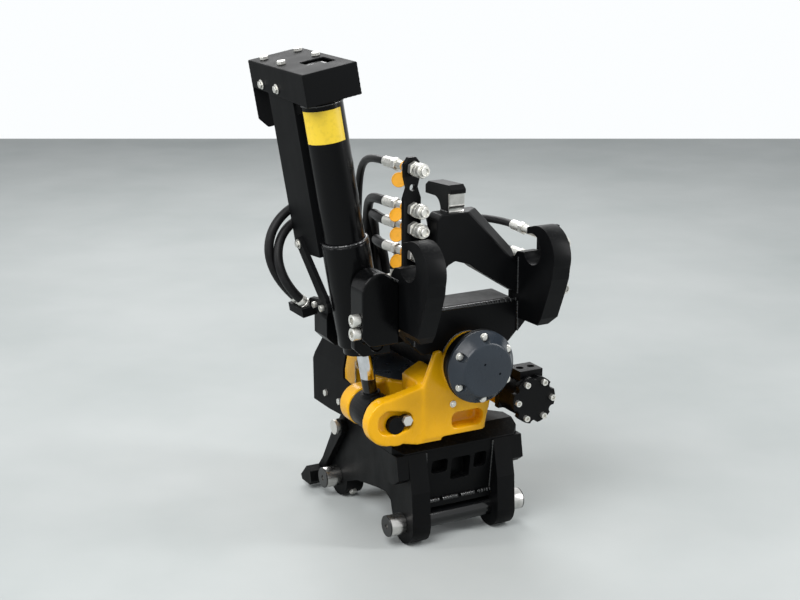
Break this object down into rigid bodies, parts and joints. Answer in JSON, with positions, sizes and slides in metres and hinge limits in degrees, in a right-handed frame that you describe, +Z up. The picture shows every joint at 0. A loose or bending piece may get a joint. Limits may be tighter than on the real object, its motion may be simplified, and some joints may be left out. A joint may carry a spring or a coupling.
{
  "type": "excavator tilt rotator",
  "caption": "Tilt rotator with hooks for the excavator arm on top, a swinging tilt cylinder at the side, a worm-driven slewing housing and a hitch with tool shafts below.",
  "frame": {"origin": "on the ground under the middle of the whole, with the hitch standing level and the frame not tilted", "axes": "+Z up, +X along the tool shafts away from the tilt cylinder, +Y to the rear along the tilt axle"},
  "size_m": [0.5536, 0.572, 1.0017],
  "materials": {
    "black_paint": "satin",
    "yellow_paint": "gloss",
    "bare_steel": "brushed",
    "chrome": "polished",
    "zinc_plate": "satin",
    "bronze": "satin",
    "graphite_paint": "satin",
    "black_rubber": "matte",
    "tag_plastic": "gloss"
  },
  "bodies": {
    "lower_hitch": {"hitch_deck": "black_paint", "left_cheek": "black_paint", "right_cheek": "black_paint", "hitch_front_wall": "black_paint", "hitch_rear_wall": "black_paint", "front_shaft": "bare_steel", "rear_shaft": "bare_steel", "shaft_lock_screws": "zinc_plate", "slew_spindle": "bare_steel", "thrust_ring": "bronze", "worm_wheel": "bronze", "lock_pivot": "zinc_plate"},
    "lock": {"lock_lever": "black_paint"},
    "rotor": {"rotor_housing": "yellow_paint", "gear_lid": "graphite_paint", "slew_seal": "black_rubber", "tilt_axle": "bare_steel", "front_flange": "black_paint", "tilt_cover": "graphite_paint", "cover_screws": "zinc_plate", "rear_tilt_cap": "graphite_paint", "side_cover": "black_paint", "side_cover_screws": "zinc_plate", "hydraulic_motor": "black_paint", "motor_end_cap": "black_paint", "motor_screws": "zinc_plate", "motor_port_block": "bare_steel", "rod_pin": "graphite_paint", "pin_bolt": "zinc_plate"},
    "worm": {"worm_shaft": "bare_steel"},
    "top_frame": {"tilt_hub": "black_paint", "front_plate": "black_paint", "top_plate": "black_paint", "rear_beam": "black_paint", "left_hook_plate": "black_paint", "right_hook_plate": "black_paint", "cross_plate": "black_paint", "centre_hook": "black_paint", "tilt_bushes": "bronze", "front_trunnion_block": "black_paint", "rear_trunnion_block": "black_paint", "trunnion_screws": "zinc_plate", "left_coupler_plate": "black_paint", "left_couplers": "zinc_plate", "right_coupler_plate": "black_paint", "right_couplers": "zinc_plate", "coupler_tags": "tag_plastic", "coupler_hoses": "black_rubber"},
    "barrel": {"cylinder_barrel": "black_paint", "cylinder_collar": "black_paint", "cylinder_gland": "black_paint", "cylinder_end_cap": "black_paint", "hood": "black_paint", "hood_screws": "zinc_plate", "hose_guard": "black_paint", "guard_bracket": "black_paint", "bracket_screws": "zinc_plate", "loop_hoses": "black_rubber"},
    "rod": {"piston_rod": "chrome", "rod_eye": "black_paint"}
  },
  "joints": [
    {"name": "lock_swing", "type": "hinge", "parent": "lower_hitch", "child": "lock", "pos_m": [-0.061, 0.146, 0.174], "axis": [1, 0, 0], "range_deg": [0, 25]},
    {"name": "slew", "type": "hinge", "parent": "lower_hitch", "child": "rotor", "pos_m": [0.07, 0.034, 0.232], "axis": [0, 0, 1], "continuous": true},
    {"name": "worm_spin", "type": "hinge", "parent": "rotor", "child": "worm", "pos_m": [0.1955, 0.034, 0.303], "axis": [0, 1, 0], "continuous": true},
    {"name": "tilt", "type": "hinge", "parent": "rotor", "child": "top_frame", "pos_m": [0.07, 0.034, 0.392], "axis": [0, 1, 0], "range_deg": [-28, 28]},
    {"name": "barrel_swing", "type": "hinge", "parent": "top_frame", "child": "barrel", "pos_m": [-0.12015, -0.066, 0.44544], "axis": [0, 1, 0], "range_deg": [-14, 14]},
    {"name": "rod_swing", "type": "hinge", "parent": "rotor", "child": "rod", "pos_m": [-0.092, -0.066, 0.279], "axis": [0, 1, 0], "range_deg": [-14, 14]}
  ],
  "couplings": [
    {"joint": "worm_spin", "follows": "slew", "ratio": -36},
    {"joint": "barrel_swing", "follows": "tilt", "ratio": -0.5},
    {"joint": "rod_swing", "follows": "tilt", "ratio": 0.5}
  ]
}
